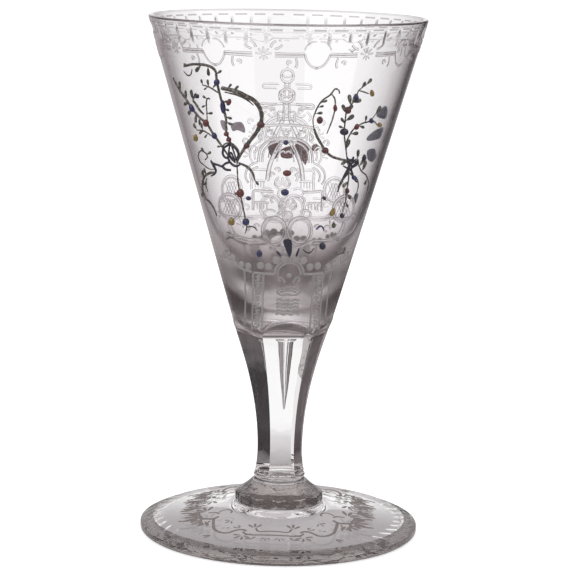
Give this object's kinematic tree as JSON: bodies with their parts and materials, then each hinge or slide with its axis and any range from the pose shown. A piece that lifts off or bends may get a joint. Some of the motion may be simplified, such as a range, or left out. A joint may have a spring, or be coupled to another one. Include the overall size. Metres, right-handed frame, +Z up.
{
  "type": "drinking glass",
  "caption": "Cone-shaped goblet on a facet-cut stem with an air tear, a disc collar and a domed foot, decorated with raised enamel sprays.",
  "frame": {"origin": "centre of the plane that the foot's resting ring stands on", "axes": "+Z up along the glass's own axis to the rim, -Y towards the pictured front of the bowl, +X to the right of that front"},
  "size_m": [0.0892, 0.0892, 0.165],
  "materials": {
    "clear_glass": "clear colourless glass with a faint mauve tint, fire-polished and cut, shiny",
    "twig_enamel": "raised dark brown fired enamel, glossy, opaque",
    "blue_enamel": "raised deep blue fired enamel, glossy, opaque",
    "red_enamel": "raised brick red fired enamel, glossy, opaque",
    "dark_red_enamel": "raised dark red fired enamel, glossy, opaque",
    "yellow_enamel": "raised ochre yellow fired enamel, glossy, opaque",
    "green_enamel": "raised olive green fired enamel, glossy, opaque",
    "dark_blue_enamel": "raised blue-black fired enamel, glossy, opaque",
    "drape_red_enamel": "thinly painted dull red fired enamel, satin, opaque",
    "pale_blue_enamel": "thinly painted grey-blue fired enamel, satin, opaque",
    "mauve_enamel": "thinly painted mauve fired enamel, satin, opaque"
  },
  "bodies": {
    "root": {"foot": "clear_glass", "collar": "clear_glass", "stem": "clear_glass", "bowl": "clear_glass", "left_spray": "twig_enamel", "right_spray": "twig_enamel", "left_blue_tip_bead": "blue_enamel", "left_blue_long_bead": "blue_enamel", "left_red_upper_bead": "red_enamel", "left_red_lower_bead": "red_enamel", "left_red_berry": "red_enamel", "left_dark_red_upper_bead": "dark_red_enamel", "left_dark_red_lower_bead": "dark_red_enamel", "left_blue_outer_bead": "blue_enamel", "left_red_outer_bead": "red_enamel", "left_blue_inner_bead": "blue_enamel", "left_blue_small_bead": "blue_enamel", "left_yellow_bead": "yellow_enamel", "left_red_drop": "red_enamel", "left_blue_drop": "blue_enamel", "left_blue_side_bead": "blue_enamel", "left_yellow_drop": "yellow_enamel", "right_red_berry": "dark_red_enamel", "right_dark_red_bead": "dark_red_enamel", "right_red_inner_bead": "red_enamel", "right_blue_flower_cup": "dark_blue_enamel", "right_dark_red_flower": "dark_red_enamel", "right_blue_upper_bead": "blue_enamel", "right_yellow_tip_bead": "yellow_enamel", "right_red_side_bead": "red_enamel", "right_blue_side_bead": "blue_enamel", "right_yellow_side_bead": "yellow_enamel", "right_blue_low_bead": "dark_blue_enamel", "right_dark_red_tail_bead": "dark_red_enamel", "right_blue_tail_bead": "blue_enamel", "right_olive_drop": "yellow_enamel", "right_dark_blue_drop": "dark_blue_enamel", "right_green_drop": "green_enamel", "centre_blue_top_bead": "blue_enamel", "centre_red_bead": "red_enamel", "centre_blue_bead": "blue_enamel", "centre_blue_low_left_bead": "blue_enamel", "centre_blue_low_right_bead": "dark_blue_enamel", "centre_blue_small_bead": "dark_blue_enamel", "centre_blue_left_dash": "dark_blue_enamel", "centre_blue_right_dash": "dark_blue_enamel", "centre_blue_low_curve": "dark_blue_enamel", "centre_blue_side_curve": "blue_enamel", "centre_blue_long_drop": "dark_blue_enamel", "back_red_left_drape": "drape_red_enamel", "back_red_middle_drape": "drape_red_enamel", "back_red_right_drape": "drape_red_enamel", "back_pink_bow": "drape_red_enamel", "back_blue_top_patch": "pale_blue_enamel", "back_blue_upper_patch": "pale_blue_enamel", "back_blue_lower_patch": "pale_blue_enamel", "back_blue_low_patch": "pale_blue_enamel", "back_mauve_left_patch": "mauve_enamel", "back_mauve_right_patch": "mauve_enamel"}
  },
  "joints": []
}
